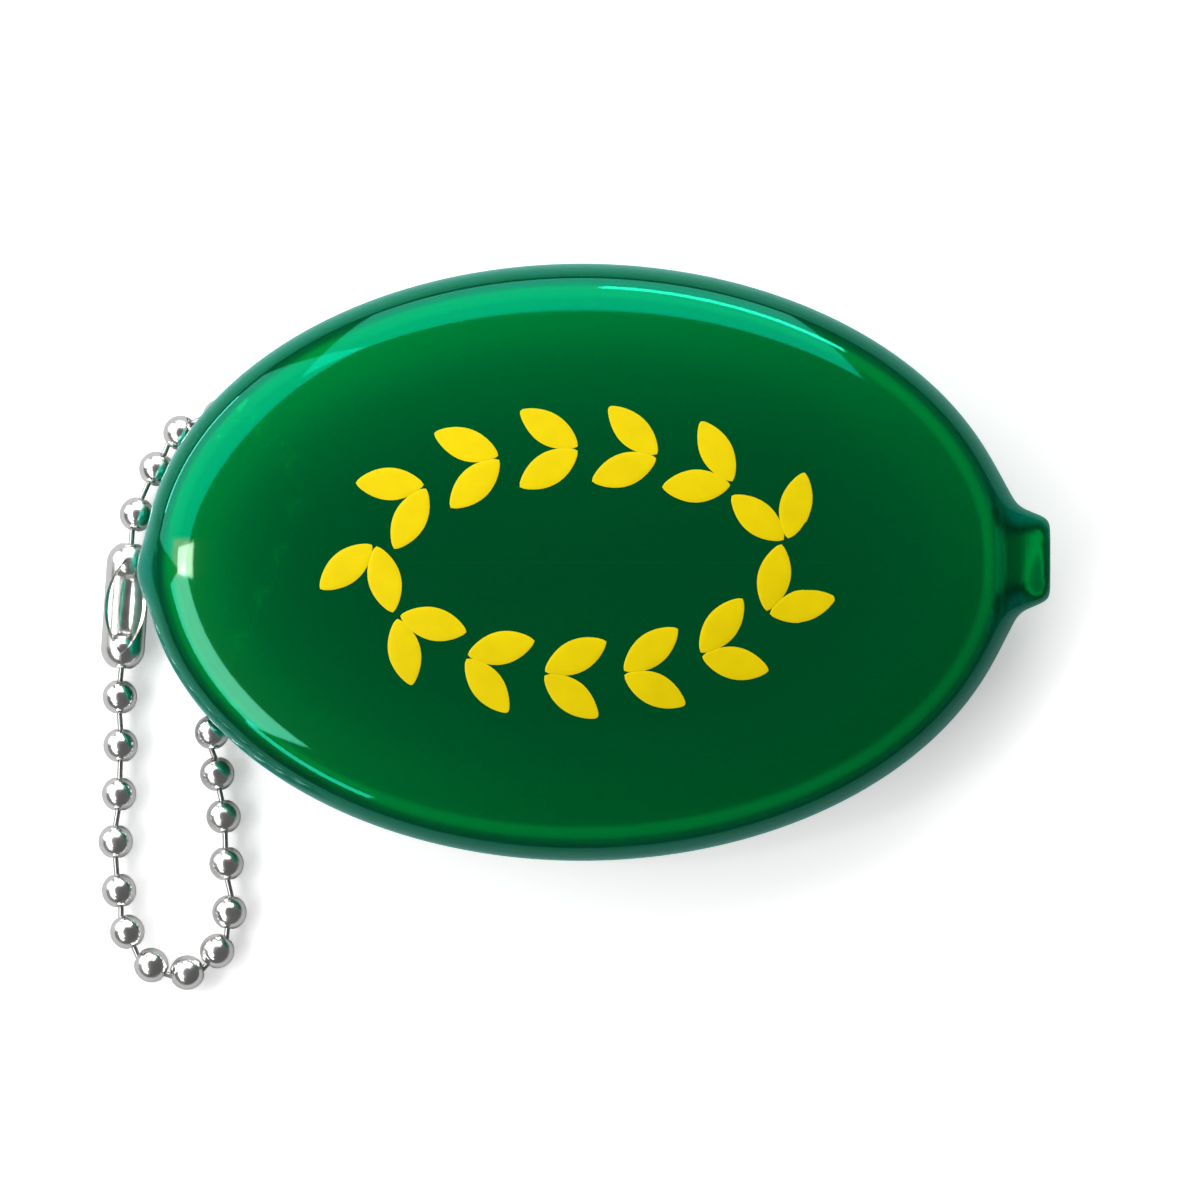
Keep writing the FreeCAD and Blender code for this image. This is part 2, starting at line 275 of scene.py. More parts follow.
def ovals(inset, steps=10):
    """Half-length, half-width and height of each oval, from the edge of the flat back to the crown's top.
    A shoulder is a quarter ellipse: it draws in by 1 - cos of its turn and climbs by sin of it.
    The crown falls away from its top with the square of the share of it that lies inside the oval."""
    long, wide = HALF_LENGTH - inset, HALF_WIDTH - inset
    back = np.radians([90, 60, 30])
    front = np.radians([0, 25, 50, 75])
    draw_in = np.concatenate([
        (BACK_SHOULDER - inset) * (1 - np.cos(back)), (FRONT_SHOULDER - inset) * (1 - np.cos(front)),
    ])
    climb = np.concatenate([-(PARTING - inset) * np.sin(back), (SHOULDER_RISE - inset) * np.sin(front)])
    sides = np.stack([long - draw_in, wide - draw_in, PARTING + climb], axis=1)
    share = np.array([0.72, 0.45, 0.2, 0, -0.2, -0.45])
    top = PARTING + FRONT_DEPTH - inset
    long_share, wide_share = share * sides[-1, 0], share * sides[-1, 1]
    crown = np.stack([long_share, wide_share, top - (top - sides[-1, 2]) * share ** 2], axis=1)
    flat = sides[0] - np.array([[8, 8, 0], [4, 4, 0]])
    stack = spline(np.concatenate([flat, sides, crown]), steps)[2 * steps:]
    stack = stack[:np.argmax(stack[:, 0] <= 1e-9) + 1]
    stack[-1, :2] = 0
    return stack, 3 * steps


outer, rim_row = ovals(0.0)
inner, _ = ovals(WALL)
print("ovals:", len(outer), "top", outer[-1, 2].round(2), "widest", outer[rim_row].round(2))

# %% [markdown]
# ## Neck and tip
# Where the vinyl was drawn from the mould, the right end keeps a short flared neck with a flat end, and
# the left tip a low swelling. Both are made by pushing the skin outwards along the length. The push is
# a smooth plateau: full in the middle, half at the neck's side, and a weak wide skirt for the flare.

# %% How the ends swell
NECK_END, NECK_HALF_WIDTH, NECK_HALF_DEPTH, NECK_RISE = 42.9, 4.3, 2.7, 0.25
SKIRT_SHARE, SKIRT_WIDER, SKIRT_DEEPER = 0.16, 1.5, 1.6
TIP_REACH, TIP_DROP, TIP_HALF_WIDTH, TIP_HALF_DEPTH = 0.7, 0.9, 2.6, 2.4
# Only skin that lies farther out along the length than this, in mm, is pushed.
PUSHED_FROM = 20.0


def swell_ends(points):
    """The skin with its neck and tip: each point moves along X by a share of its way to the neck's end plane.
    The share is 1 / (1 + s^4) for a rounded section s of the neck, plus a weak and wide skirt of a like form.
    The left tip moves out by a low bump."""
    x, y, z = np.moveaxis(points, -1, 0)
    across, above = np.abs(y - NECK_RISE) / NECK_HALF_WIDTH, np.abs(z - PARTING) / NECK_HALF_DEPTH
    plateau = 1 / (1 + (across ** 3.5 + above ** 3.5) ** 4)
    skirt = SKIRT_SHARE / (1 + ((across / SKIRT_WIDER) ** 2 + (above / SKIRT_DEEPER) ** 2) ** 3.5)
    push = np.where(x > PUSHED_FROM, (plateau + (1 - plateau) * skirt) * (NECK_END - x), 0)
    bump = np.exp(-((y + TIP_DROP) / TIP_HALF_WIDTH) ** 2 - ((z - PARTING) / TIP_HALF_DEPTH) ** 2)
    push -= np.where(x < -PUSHED_FROM, TIP_REACH * bump, 0)
    return np.stack([x + push, y, z], axis=-1)


print("neck end at", swell_ends(np.array([[HALF_LENGTH, NECK_RISE, PARTING]])).round(2))

# %% [markdown]
# ## What every point carries
# The shader can't know how far a point lies from the outline or which way it faces the window, so each
# point is given three numbers: its way in, how much painted light from the window it gets, and how pale its
# mirror is. On the neck the way in follows a list of its own, because the neck lies outside the oval, and
# that list paints a lit patch near the neck's end and painted shade beside it and on its lower side.

# %% Way in, window light and pale mirror
# The window stands at this angle round the oval; the painted light from it by the way in, in mm, as a share of
# the most.
WINDOW_ANGLE, WINDOW_MEAN, WINDOW_SWING = np.radians(136), 0.15, 0.36
WINDOW_SHARES = (
    (0.0, 0.6), (1.0, 0.6), (1.4, 0.0), (2.9, 0.0), (3.6, 1.0), (6.0, 1.0),
    (8.0, 0.8), (10.0, 0.55), (13.0, 0.4), (16.0, 0.15), (20.0, 0.0),
)
# How pale the mirror is at the left end, by the place across the purse and by the way in, both in mm.
PALE_SHARES_ACROSS = ((-20.0, 0.0), (-14.0, 0.33), (-1.6, 0.33), (-0.9, 1.0), (1.9, 1.0), (2.3, 0.0))
PALE_SHARES_IN = ((2.5, 0.0), (3.0, 1.0), (5.0, 1.0), (6.5, 0.0))
# The way in that the neck is painted as, by the distance back from its end in mm: painted light and shade,
# brightest a millimetre in from the end.
NECK_LENGTH, NECK_FADE, NECK_LIT_HALF = 6.5, 2.0, 3.1
NECK_PAINTED_LIGHT = ((0.0, 0.3), (0.4, 1.1), (0.7, 2.2), (1.0, 2.7), (1.8, 2.2), (2.8, 1.95), (4.2, 1.9), (6.5, 2.2))
# Near its end painted shade makes it darker towards its lower side, by NECK_DIM at most, which grows over
# NECK_DIM_SPAN.
NECK_DIM, NECK_DIM_START, NECK_DIM_SPAN = 3.5, 1.5, 5.0
NECK_DIM_SHARES = ((0.6, 0.0), (0.9, 1.0), (1.5, 1.0), (2.4, 0.0))


def read(table, places):
    """A table of (place, value) pairs read at many places, straight between the pairs."""
    return np.interp(places, *np.array(table).T)


def carry_looks(piece):
    """Way in: (1 - r) over the slope of r, where r = sqrt((x / long)^2 + (y / wide)^2), or on the neck its
    list of painted light and shade.
    Window light, which is painted light: 1 plus a share that goes with the way in and with the cosine of the
    angle from the window.
    Pale mirror: a share across the purse times a share by the way in, at the left end."""
    points = np.empty(len(piece.data.vertices) * 3)
    piece.data.vertices.foreach_get("co", points)
    x, y, _ = points.reshape(-1, 3).T / MM
    r = np.hypot(x / HALF_LENGTH, y / HALF_WIDTH) + 1e-6
    slope = np.hypot(x / HALF_LENGTH ** 2, y / HALF_WIDTH ** 2) / r + 1e-6
    way_in = np.clip((1 - r) / slope, 0, RIM_REACH)
    towards = (x / HALF_LENGTH * np.cos(WINDOW_ANGLE) + y / HALF_WIDTH * np.sin(WINDOW_ANGLE)) / r
    window_light = 1 + read(WINDOW_SHARES, way_in) * (WINDOW_MEAN + WINDOW_SWING * towards)
    pale_mirror = read(PALE_SHARES_ACROSS, y) * read(PALE_SHARES_IN, way_in) * (x < 0)
    from_end = NECK_END - x
    on_neck = np.clip((NECK_LENGTH - from_end) / NECK_FADE, 0, 1)
    on_neck /= 1 + (np.abs(y - NECK_RISE) / NECK_LIT_HALF) ** 8
    lower_side = np.clip((NECK_DIM_START - y) / NECK_DIM_SPAN, 0, 1)
    # Painted shade on the neck's lower side, near its end.
    neck_painted_shade = NECK_DIM * lower_side * read(NECK_DIM_SHARES, from_end)
    # On the neck the way in becomes the painted light and shade of its list.
    way_in += (read(NECK_PAINTED_LIGHT, from_end) + neck_painted_shade - way_in) * on_neck
    looks = {"way_in": way_in / RIM_REACH, "window_light": window_light, "pale_mirror": pale_mirror}
    for name, values in looks.items():
        layer = piece.data.attributes.new(name, "FLOAT", "POINT")
        layer.data.foreach_set("value", values.astype(np.float32))


print("window at", round(float(np.degrees(WINDOW_ANGLE))), "degrees round the oval")

# %% [markdown]
# ## Front and ends in one skin
# Only the slit's lips bend, so the front and both ends of the back are one piece. The front runs right
# round the oval. At each end the back is a cap that stops at the slit's end. All of them share the
# angles round the oval at the parting line, with more of them where the neck and tip need them.

# %% The front and the end caps
SLIT_HALF = 28.0
end_angle = np.arccos(SLIT_HALF / HALF_LENGTH)
even = np.linspace(-1, 1, 121)
cap_share = 0.3 * even + 0.7 * even ** 3
side_angles = np.linspace(end_angle, np.pi - end_angle, 121)


def front_skin(stack):
    """Level ovals from the parting line to the crown's top: half-length times cos of the angle round the oval,
    and half-width times sin of it."""
    cap = end_angle * cap_share
    angle = np.concatenate([cap, side_angles[1:], np.pi + cap[1:], np.pi + side_angles[1:]])
    long, wide, height = (part[:, None] for part in stack[rim_row:].T)
    return np.stack(np.broadcast_arrays(long * np.cos(angle), wide * np.sin(angle), height), axis=-1)


def end_cap(stack, turn):
    """The back beyond the slit's end: straight lines over the flat from the slit's end out to its edge, then
    up the shoulder along arcs of the ovals that all start and stop at the slit's end."""
    long, wide, height = (part[:, None] for part in stack[:rim_row + 1].T)
    angle = np.arccos(SLIT_HALF / long) * cap_share
    shoulder = np.stack(np.broadcast_arrays(long * np.cos(angle), wide * np.sin(angle), height), axis=-1)
    line = np.linspace(0, 1, 12)[:-1, None, None]
    chord = shoulder[0] * [0, 1, 1] + [SLIT_HALF, 0, 0]
    cap = np.concatenate([chord + (shoulder[0] - chord) * line, shoulder])
    return cap * [np.cos(turn), np.cos(turn), 1]


print("the slit's end lies", np.degrees(end_angle).round(1), "degrees round the oval from its tip")

# %% [markdown]
# ## Two holes for the chain
# The chain goes in and out through two round holes, punched through the left shoulder after moulding. Each
# runs along the line from the last bead outside to the first bead inside. A place near a hole is told by
# the way along that line, the distance from it and the angle round it.

# %% The lines of the holes
def box_middle(node):
    """The middle of a CAD node's box, in millimetres."""
    low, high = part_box(node)
    return (np.array(low) + np.array(high)) / 2 / MM


class HoleLine:
    """A hole's line: where it starts outside, which way it goes, and how far to the bead inside."""

    def __init__(self, outside, inside):
        self.start = box_middle(outside)
        self.length = np.linalg.norm(box_middle(inside) - self.start)
        self.way = (box_middle(inside) - self.start) / self.length
        self.level = np.cross(self.way, [0, 0, 1])
        self.level /= np.linalg.norm(self.level)
        self.upright = np.cross(self.level, self.way)

    def measure(self, points):
        """The place along the line, the distance from it and the angle round it."""
        ways = (self.way, self.level, self.upright)
        along, level, upright = ((points - self.start) @ way for way in ways)
        return along, np.hypot(level, upright), np.arctan2(upright, level)

    def place(self, along, apart, angle):
        """The point at a place along the line, a distance from it and an angle round it."""
        round_it = np.cos(angle)[..., None] * self.level + np.sin(angle)[..., None] * self.upright
        return self.start + along[..., None] * self.way + np.asarray(apart)[..., None] * round_it


hole_lines = {
    "upper": HoleLine("bead_top_anchor", "bead_inner_1"),
    "lower": HoleLine("bead_low_anchor", "bead_inner_8"),
}
for side, line in hole_lines.items():
    print(side, "hole from", line.start.round(2), "along", line.way.round(2))

# %% [markdown]
# ## Punched skins
# The points of the skins inside a hole are left blank, and the points beside it slide along the skin to its
# edge. A thin sleeve, with one closed ring of section for every angle round the hole, is the punched edge of
# the wall.

# %% Punch the holes
HOLE_RADIUS, SLEEVE, FAR = 2.1, 0.25, 99.0


def punch(skin, line):
    """The skin with blanks inside the hole, and the points beside it slid to the edge along the way to the
    deepest blank among their eight neighbours; also which points now lie on the edge."""
    along, apart, _ = line.measure(skin)
    apart = np.where((along > -HOLE_RADIUS) & (along < line.length + 2 * HOLE_RADIUS), apart, FAR)
    rows, columns = apart.shape
    depths, places = np.pad(apart, 1, mode="edge"), np.pad(skin, ((1, 1), (1, 1), (0, 0)), mode="edge")
    deepest, slid = np.full_like(apart, HOLE_RADIUS), skin.copy()
    for down, right in np.ndindex(3, 3):
        there = (slice(down, down + rows), slice(right, right + columns))
        take = (apart >= HOLE_RADIUS) & (depths[there] < deepest)
        share = (apart - HOLE_RADIUS)[take] / (apart - depths[there])[take]
        slid[take] = skin[take] + share[:, None] * (places[there][take] - skin[take])
        deepest[take] = depths[there][take]
    edge = (apart >= HOLE_RADIUS) & (deepest < HOLE_RADIUS)
    slid[apart < HOLE_RADIUS] = np.nan
    return slid, edge


def edge_along(points, line, angle):
    """How far along its line the edge of a hole lies, at each angle round it."""
    along, _, at = line.measure(points)
    return np.interp(angle, at, along, period=2 * np.pi)


def sleeve(edges, line):
    """The punched wall: a closed section of four corners between the two skins, at every angle."""
    angle = np.linspace(0, 2 * np.pi, 65)
    out, into = (edge_along(points, line, angle) for points in edges)
    corners = ((out, 0.0), (out, SLEEVE), (into, SLEEVE), (into, 0.0), (out, 0.0))
    return np.stack([line.place(along, HOLE_RADIUS + more + 0 * along, angle) for along, more in corners])


print("holes:", 2 * HOLE_RADIUS, "mm across, with sleeves", SLEEVE, "mm thick")

# %% [markdown]
# ## The fixed part of the moulding
# The outer skins, with their neck and tip, and the inner skins together are the wall of the purse. They are
# one piece, because nothing of it moves, and the sleeves of the two holes are pieces beside it.

# %% Skins and sleeves together
def shell_grids():
    """The outer skins face out and the inner ones face the room for the coins. Also the edges of the holes."""
    grids, edges = [], {side: [] for side in hole_lines}
    for stack, inside in ((outer, False), (inner, True)):
        left = end_cap(stack, np.pi)
        left = left if inside else swell_ends(left)
        for side, line in hole_lines.items():
            left, edge = punch(left, line)
            edges[side].append(left[edge])
        for skin in (front_skin(stack), end_cap(stack, 0.0)):
            grids.append((skin if inside else swell_ends(skin), inside))
        grids.append((left, inside))
    return grids, edges


grids, edges = shell_grids()
pieces = {"purse_shell_skin": grids}
for side, line in hole_lines.items():
    pieces[f"chain_hole_edge_{side}"] = [(sleeve(edges[side], line), True)]
for name, grids in pieces.items():
    piece = make_piece(name, grids, vinyl)
    carry_looks(piece)
    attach(piece, "purse")
    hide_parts("purse_shell")
    print(name, len(piece.data.polygons), "faces")

# %% [markdown]
# ## The lips of the slit
# Below the parting line the back is two long lips. A squeeze bends them open most at mid-length and not
# at all at the slit's ends. Each lip is made as two halves, from mid-length out to each end of the slit.
# A half is one profile, from the rim down round the shoulder, over the flat, round the slit's edge and back
# up inside, carried along the slit.

# %% Four half lips
SLIT_GAP, EDGE_ROUND = 0.03, 0.3


def level_across(stack, x):
    """How far out each oval of the back lies at a place along the slit: wide times sqrt(1 - (x / long)^2)."""
    long, wide, height = (part[:, None] for part in stack[:rim_row + 1].T)
    return np.stack(np.broadcast_arrays(x, wide * np.sqrt(1 - (x / long) ** 2), height), axis=-1)


def slit_edge(x):
    """The rounded edge, a flat wall between two quarter circles, fading to a bare line at the slit's end."""
    fade = 1 - (x / SLIT_HALF) ** 6
    turn = np.radians(np.linspace(0, 90, 7))[:, None]
    gap, radius = SLIT_GAP * fade, EDGE_ROUND * fade
    aside, up = gap + radius * (1 - np.sin(turn)), radius * (1 - np.cos(turn))
    low = np.stack(np.broadcast_arrays(x, aside, up), axis=-1)
    high = low[::-1] * [1, 1, -1] + [0, 0, WALL]
    return np.concatenate([low, high])


def half_lip(x):
    """The profile at each place along the slit, from the outer rim round the slit's edge to the inner rim."""
    down, up = level_across(outer, x)[::-1], level_across(inner, x)
    edge = slit_edge(x)
    share = np.linspace(0, 1, 14)[1:-1, None, None]
    over = down[-1] + (edge[0] - down[-1]) * share
    back = edge[-1] + (up[0] - edge[-1]) * share
    return np.concatenate([down, over, edge, back, up])


right_half = HALF_LENGTH * np.cos(side_angles[:61])
for side, mirror in (("upper", 1), ("lower", -1)):
    for end, way in (("right", 1), ("left", -1)):
        lip = make_piece(
            f"back_lip_{side}_{end}", [(half_lip(right_half) * [way, mirror, 1], way * mirror > 0)], vinyl
        )
        carry_looks(lip)
        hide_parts(f"{side}_lip")
        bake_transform(lip)
        print(lip.name, len(lip.data.polygons), "faces")

# %% [markdown]
# ## A printed wreath
# The front carries a pad print in opaque yellow ink: a wreath of plump leaves. Ink lies on the vinyl as a
# film with a soft edge. Each leaf is a grid along and across it, laid on the crown by reading the height of
# the oval stack, once for the film's top and once for its underside, so that the film is closed.

# %% Leaves of ink on the crown
LEAF_PAIRS, WREATH_HALF_LENGTH, WREATH_HALF_WIDTH = 13, 19.0, 10.3
LEAF_LENGTH, LEAF_HALF_WIDTH, LEAF_TURN, FILM = 6.2, 1.5, 32.0, 0.04
FOOT_GAP_SHARE, FIRST_PAIR_SHARE = 0.06, 0.25


def crown_height(x, y):
    """The height of the crown over a place. Its ovals have one shape, so the half-length of the oval there
    tells the height."""
    long, wide, height = outer[::-1].T
    return np.interp(np.hypot(x, y * long[1] / wide[1]), long, height)


def wreath_places():
    """Places spaced evenly along the wreath's oval, and the way that the oval runs there."""
    turn = np.linspace(0, 2 * np.pi, 721)
    oval = np.stack([WREATH_HALF_LENGTH * np.cos(turn), WREATH_HALF_WIDTH * np.sin(turn)], axis=1)
    along = np.concatenate([[0], np.cumsum(np.linalg.norm(np.diff(oval, axis=0), axis=1))])
    angle = np.interp((np.arange(LEAF_PAIRS) + FIRST_PAIR_SHARE) / LEAF_PAIRS * along[-1], along, turn)
    way = np.arctan2(WREATH_HALF_WIDTH * np.cos(angle), -WREATH_HALF_LENGTH * np.sin(angle))
    return zip(WREATH_HALF_LENGTH * np.cos(angle), WREATH_HALF_WIDTH * np.sin(angle), way)


def leaf_film(foot_x, foot_y, way):
    """One leaf: its half-width goes with sin(pi s)^0.7 along its length s, and the film thins to its edge."""
    s, u = np.linspace(0, 1, 33)[:, None], np.linspace(-1, 1, 17)[None, :]
    half = LEAF_HALF_WIDTH * np.sin(np.pi * s) ** 0.7
    along, across = np.broadcast_arrays((s + FOOT_GAP_SHARE) * LEAF_LENGTH, u * half)
    x = foot_x + along * np.cos(way) - across * np.sin(way)
    y = foot_y + along * np.sin(way) + across * np.cos(way)
    thick = FILM * (1 - u ** 6) * np.sin(np.pi * s) ** 0.25
    skin = crown_height(x, y)
    top, underside = (np.stack([x, y, height], axis=-1) for height in (skin + thick, skin - thick / 2))
    return [(top, True), (underside, False)]


ink, nodes, links, shader = new_material("yellow_ink")
ink_tone = add_ramp(nodes, links, add_noise(nodes, links, 400), (0.76, 0.58, 0.0), (0.82, 0.63, 0.0))
links.new(ink_tone.outputs["Color"], shader.inputs["Base Color"])
shader.inputs["Roughness"].default_value = 0.4
shader.inputs["Specular IOR Level"].default_value = 0.15
leaves = []
for foot_x, foot_y, way in wreath_places():
    for side in (-1, 1):
        leaves += leaf_film(foot_x, foot_y, way + side * np.radians(LEAF_TURN))
wreath = make_piece("front_print", leaves, ink)
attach(wreath, "purse")
print("wreath of", 2 * LEAF_PAIRS, "leaves")

# %% [markdown]
# ## Bright metal
# Beads, links and clasp are nickel-plated steel. Plate is a mirror with a trace of yellow, worn a little
# by rubbing. Noise in the roughness stands for that wear. The wire of the links is duller. The plate is
# written a little brighter than nickel is, because the dim room gives it little to mirror.

# %% Nickel for beads and clasp, duller plate for the wire
def plated(name, colour, dull, worn):
    """A metal whose roughness wanders between its dull and worn values."""
    material, nodes, links, shader = new_material(name)
    shader.inputs["Base Color"].default_value = (*colour, 1)
    shader.inputs["Metallic"].default_value = 1.0
    wear = add_ramp(nodes, links, add_noise(nodes, links, 900), (dull,) * 3, (worn,) * 3)
    links.new(wear.outputs["Color"], shader.inputs["Roughness"])
    return material


nickel = plated("bright_nickel", (0.94, 0.93, 0.92), 0.17, 0.27)
wire_plate = plated("dull_wire_plate", (0.48, 0.48, 0.48), 0.25, 0.4)
print("plated finishes:", nickel.name, wire_plate.name)

# %% [markdown]
# ## The run of the chain
# The CAD model's boxes tell where each bead sits. In the order along the chain, from one end of the clasp to
# the other, the axis of a bead halves the chain's bend there.

# %% Places and axes of the beads
CHAIN = [
    "clasp_upper", "top_outer", "top_middle", "top_anchor",
    *[f"inner_{k}" for k in range(1, 9)], "low_anchor",
    *[f"right_{k}" for k in range(2, 7)], "bottom_2", "bottom_1",
    *[f"left_{k}" for k in range(6, 0, -1)], "clasp_lower",
]
body_of = {node: body for body, group in frame["record"]["behaviour"]["bodies"].items() for node in group}
centres = np.array([box_middle(f"bead_{name}") for name in CHAIN])
steps = np.diff(centres, axis=0)
pitch = np.linalg.norm(steps, axis=1)
steps /= pitch[:, None]
axes = np.concatenate([steps[:1], steps[:-1] + steps[1:], steps[-1:]])
print(len(CHAIN), "beads on a pitch of", pitch.min().round(2), "to", pitch.max().round(2), "mm")

# %% [markdown]
# ## Beads
# A bead is a strip of steel rolled and pressed into a hollow ball, with a hole at each end of its axis
# where the edge turns in. One closed profile, out over the ball and back inside, is turned about the
# axis. The two beads at the purse's holes take the swing of the whole loop, so their own holes are wider.
# All beads are of thin sheet, which leaves the wires and their heads room to turn.

# %% Turn a profile about an axis
BEAD_RADIUS, BEAD_WALL, BEAD_HOLE, ANCHOR_HOLE, EDGE_TURN = 1.6, 0.14, 0.5, 0.64, 0.1


def turn_profile(profile, middle, axis, columns=48):
    """A profile of radius and height turned about an axis:
    middle + height * axis + radius * (across * cos + aside * sin)."""
    axis = axis / np.linalg.norm(axis)
    across = np.cross(axis, [0, 0, 1] if abs(axis[2]) < 0.9 else [1, 0, 0])
    across = across / np.linalg.norm(across)
    aside = np.cross(axis, across)
    angle = np.linspace(0, 2 * np.pi, columns + 1)[None, :, None]
    radius, height = profile[:, 0][:, None, None], profile[:, 1][:, None, None]
    return middle + height * axis + radius * (across * np.cos(angle) + aside * np.sin(angle))


def bead_profile(hole):
    """Out over the ball from hole to hole, in through a rounded hole edge, and back along the room inside."""
    start = np.arcsin((hole + EDGE_TURN) / BEAD_RADIUS)
    over = np.linspace(start, np.pi - start, 33)
    ball = BEAD_RADIUS * np.stack([np.sin(over), np.cos(over)], axis=1)
    room_start = np.arcsin(hole / (BEAD_RADIUS - BEAD_WALL))
    under = np.linspace(np.pi - room_start, room_start, 17)
    room = (BEAD_RADIUS - BEAD_WALL) * np.stack([np.sin(under), np.cos(under)], axis=1)
    edge = ball[-1:] + EDGE_TURN * np.array([[-0.7, 0.3], [-1.0, 0.9]])
    return np.concatenate([ball, edge, room, edge[::-1] * [1, -1], ball[:1]])


for name, centre, axis in zip(CHAIN, centres, axes):
    node = f"bead_{name}"
    profile = bead_profile(ANCHOR_HOLE if "anchor" in name else BEAD_HOLE)
    bead = make_piece(f"{node}_ball", [(turn_profile(profile, centre, axis), True)], nickel, sharp=60)
    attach(bead, body_of[node])
    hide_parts(node)
for number in range(1, len(CHAIN)):
    finishes = frame["nodes"][f"link_{number:02d}"].data.materials
    finishes.clear()
    finishes.append(wire_plate)
print(len(CHAIN), "beads, each a profile of", len(profile), "points, and", len(CHAIN) - 1, "links refinished")

# %% [markdown]
# ## Clasp
# The clasp is a strip of plated steel rolled into a tube with rounded ends. Its long edges stand apart in
# the middle and make an almond window, through which an end bead is pushed in and slid home. The sheet is
# worked out on a grid of the way along the tube and the way round from one edge of the window to the other.

# %% A rolled sheet with an almond window
CLASP_OUTER, CLASP_SHEET, CLASP_MOUTH = 2.02, 0.3, 0.85
WINDOW_HALF_LENGTH, WINDOW_HALF_WIDTH, SEAM_HALF_GAP = 4.45, 1.85, 0.02


def clasp_grid(middle, axis):
    """Radius times cos and sin of the angle round the tube. The tube's ends are arcs down to the mouths. The
    sheet runs from one edge of the window round the back to the other, first outside and then inside."""
    axis = axis / np.linalg.norm(axis)
    upward = np.array([0, 0, 1.0]) - axis[2] * axis
    upward /= np.linalg.norm(upward)
    sideways = np.cross(axis, upward)
    half_span = np.linalg.norm(centres[-1] - centres[0]) / 2
    mouth_turn = np.arccos(CLASP_MOUTH / CLASP_OUTER)
    turn = np.linspace(mouth_turn, 0, 20)
    ends = np.stack([half_span + CLASP_OUTER * np.sin(turn), np.cos(turn)], axis=1)
    straight = np.stack([np.linspace(half_span, -half_span, 81)[1:-1], np.ones(79)], axis=1)
    along, share = np.concatenate([ends, straight, ends[::-1] * [-1, 1]]).T[:, :, None]
    open_share = np.clip(1 - (along / WINDOW_HALF_LENGTH) ** 2, 0, None) ** 0.9
    half_open = np.clip(SEAM_HALF_GAP + WINDOW_HALF_WIDTH * open_share, 0, CLASP_OUTER * 0.98)
    seam = np.arcsin(half_open / CLASP_OUTER)
    round_share = np.linspace(0, 1, 73)
    angle = seam + (2 * np.pi - 2 * seam) * round_share
    sheets = []
    for radius in (CLASP_OUTER, CLASP_OUTER - CLASP_SHEET):
        sheets.append(
            middle + along[..., None] * axis
            + (radius * share * np.cos(angle))[..., None] * upward
            + (radius * share * np.sin(angle))[..., None] * sideways
        )
    outside, inside = sheets
    ring = np.concatenate([outside, inside[:, ::-1], outside[:, :1]], axis=1)
    swapped = np.concatenate([inside, outside[:, ::-1], inside[:, :1]], axis=1)
    caps = (ring[[0, -1]] + swapped[[0, -1]]) / 2
    return np.concatenate([caps[:1], ring, caps[1:]])


rolled = clasp_grid((centres[0] + centres[-1]) / 2, centres[-1] - centres[0])
clasp = make_piece("clasp_sheet", [(rolled, True)], nickel, sharp=35)
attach(clasp, "clasp")
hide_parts("clasp")
print("clasp faces:", len(clasp.data.polygons))

# %% [markdown]
# ## Camera
# The photograph looks straight down from far away. A long lens high over the frame's middle keeps the
# purse's sides out of sight, as a copy stand does.

# %% A long lens straight down
FRAME_WIDTH, FRAME_MIDDLE, CAMERA_HEIGHT, SENSOR = 109.9, (1.72, -3.46), 900.0, 36.0
camera_data = bpy.data.cameras.new("copy_stand_camera")
camera_data.sensor_width = SENSOR
camera_data.lens = SENSOR * (CAMERA_HEIGHT - PARTING) / FRAME_WIDTH
camera = bpy.data.objects.new("copy_stand_camera", camera_data)
camera.location = (FRAME_MIDDLE[0] * MM, FRAME_MIDDLE[1] * MM, CAMERA_HEIGHT * MM)
bpy.context.scene.collection.objects.link(camera)
bpy.context.scene.camera = camera
print("lens:", round(camera_data.lens, 1), "mm")

# %% [markdown]
# ## White sweep
# The purse lies on a white sweep. To the camera, and through clear vinyl, the sweep glows a little, so that
# it comes out white while it still takes the shadow. In a mirror it is darker, as a table edge would be,
# which keeps the metal from looking flat.

# %% The sweep
SWEEP_HALF, SWEEP_DROP, PAPER_WHITE = 300.0, 0.1, 0.82
# For each kind of ray that looks at the sweep: how white the paper is and how much it glows.
SWEEP_LOOKS = (("Is Camera Ray", 0.98, 0.42), ("Is Glossy Ray", 0.5, 0.0), ("Is Transmission Ray", 0.8, 0.25))


def white_sweep():
    """A diffuse white, with part of its light given off where the camera or a clear wall looks at it."""
    material = bpy.data.materials.new("white_sweep")
    material.use_nodes = True
    nodes, links = material.node_tree.nodes, material.node_tree.links
    nodes.remove(nodes["Principled BSDF"])
    path = nodes.new("ShaderNodeLightPath")

    def glow(colour, strength):
        kinds = ("BsdfDiffuse", "Emission", "AddShader")
        paper, lit, both = (nodes.new(f"ShaderNode{kind}") for kind in kinds)
        paper.inputs["Color"].default_value = (colour,) * 3 + (1,)
        lit.inputs["Strength"].default_value = strength
        links.new(paper.outputs[0], both.inputs[0])
        links.new(lit.outputs[0], both.inputs[1])
        return both

    plain = nodes.new("ShaderNodeBsdfDiffuse")
    plain.inputs["Color"].default_value = (PAPER_WHITE,) * 3 + (1,)
    seen = plain
    for ray, colour, strength in SWEEP_LOOKS:
        mix = nodes.new("ShaderNodeMixShader")
        links.new(path.outputs[ray], mix.inputs[0])
        links.new(seen.outputs[0], mix.inputs[1])
        links.new(glow(colour, strength).outputs[0], mix.inputs[2])
        seen = mix
    links.new(seen.outputs[0], nodes["Material Output"].inputs["Surface"])
    return material


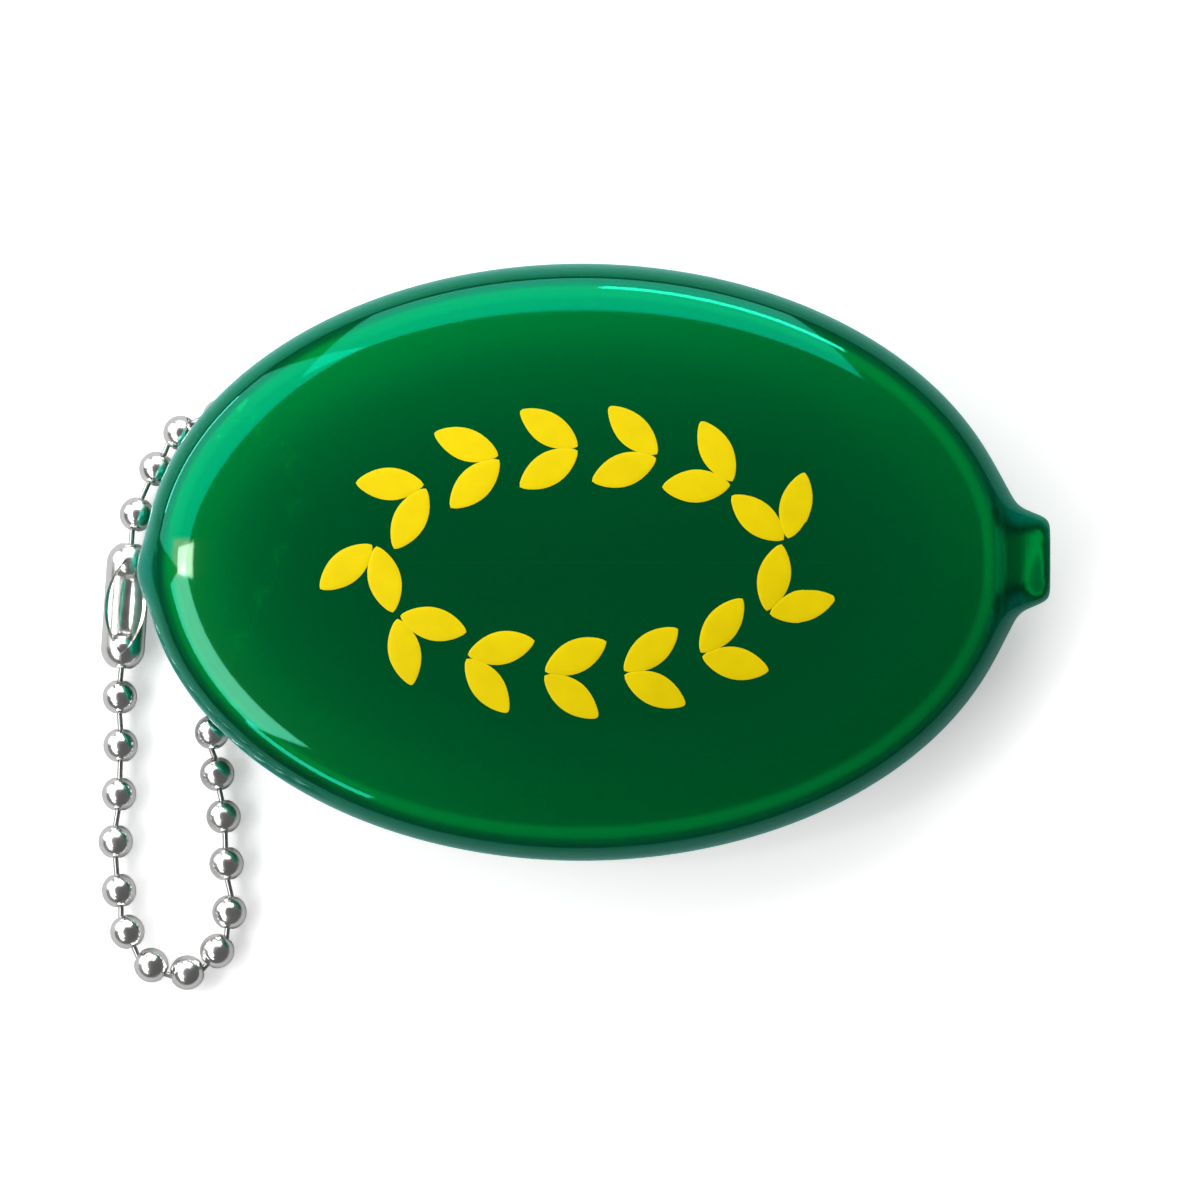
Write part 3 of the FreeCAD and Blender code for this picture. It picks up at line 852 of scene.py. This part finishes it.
floor_mesh = bpy.data.meshes.new("sweep")
corners = np.array([(-1, -1, 0), (1, -1, 0), (1, 1, 0), (-1, 1, 0)]) * SWEEP_HALF * MM
floor_mesh.from_pydata(corners.tolist(), [], [(0, 1, 2, 3)])
floor_mesh.materials.append(white_sweep())
floor = bpy.data.objects.new("sweep", floor_mesh)
floor.location.z = -SWEEP_DROP * MM
bpy.context.scene.collection.objects.link(floor)
floor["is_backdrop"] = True
print("sweep:", 2 * SWEEP_HALF, "mm square")

# %% [markdown]
# ## A dim room
# A dim room gives the metal its dark sides. Past the edge of the sweep the camera sees white.

# %% The room
def dim_room():
    """A dim grey room that looks white where the camera, or a clear wall, sees past the sweep."""
    world = bpy.data.worlds.new("dim_room")
    world.use_nodes = True
    nodes, links = world.node_tree.nodes, world.node_tree.links
    room, white, path, straight, mix = nodes["Background"], *(
        nodes.new(f"ShaderNode{kind}") for kind in ("Background", "LightPath", "Math", "MixShader")
    )
    room.inputs["Color"].default_value = (1, 1, 1, 1)
    room.inputs["Strength"].default_value = 0.1
    white.inputs["Color"].default_value = (1, 1, 1, 1)
    straight.operation = "MAXIMUM"
    links.new(path.outputs["Is Camera Ray"], straight.inputs[0])
    links.new(path.outputs["Is Transmission Ray"], straight.inputs[1])
    links.new(straight.outputs[0], mix.inputs[0])
    links.new(room.outputs[0], mix.inputs[1])
    links.new(white.outputs[0], mix.inputs[2])
    links.new(mix.outputs[0], nodes["World Output"].inputs["Surface"])
    return world


bpy.context.scene.world = dim_room()
print("world:", bpy.context.scene.world.name)

# %% [markdown]
# ## Soft light
# Big soft boxes stand to the left and above, like windows, and small ones give the thin lines of light on
# the shoulder.

# %% Soft boxes
def soft_box(name, azimuth, elevation, width, height, radiance, distance=0.9):
    """A rectangle of light that faces the purse from an azimuth, counted from +X to +Y, and an elevation."""
    light = bpy.data.lights.new(name, "AREA")
    light.shape = "RECTANGLE"
    light.size, light.size_y = width, height
    light.energy = radiance * np.pi * width * height
    lamp = bpy.data.objects.new(name, light)
    a, e = np.radians([azimuth, elevation])
    way = np.array([np.cos(a) * np.cos(e), np.sin(a) * np.cos(e), np.sin(e)])
    lamp.location = way * distance
    lamp.rotation_euler = (np.pi / 2 - e, 0, a + np.pi / 2)
    bpy.context.scene.collection.objects.link(lamp)
    return lamp


# Name, azimuth and elevation in degrees, width and height in metres, and radiance.
SOFT_BOXES = (
    ("left_top_window", 150, 31, 0.77, 0.88, 2.7),
    ("top_window", 90, 30, 0.8, 0.84, 2.7),
    ("window_pane", 179, 51, 0.1, 0.22, 10),
    ("left_window", 207, 44, 0.56, 0.38, 5),
    ("low_left_strip", 236, 30, 0.3, 0.1, 5),
    ("top_strip", 74, 28, 0.4, 0.08, 9),
    ("low_window_edge", 150, 5, 0.5, 0.05, 9),
)
for row in SOFT_BOXES:
    soft_box(*row)
print(len(SOFT_BOXES), "soft boxes")
bpy.context.scene.view_settings.view_transform = "Standard"

# %% Print the dressed box and finish
dressed_low, dressed_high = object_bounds()
for corner, place in (("low", dressed_low), ("high", dressed_high)):
    print("dressed box,", corner, "corner in mm:", np.round(np.array(place) / MM, 2))
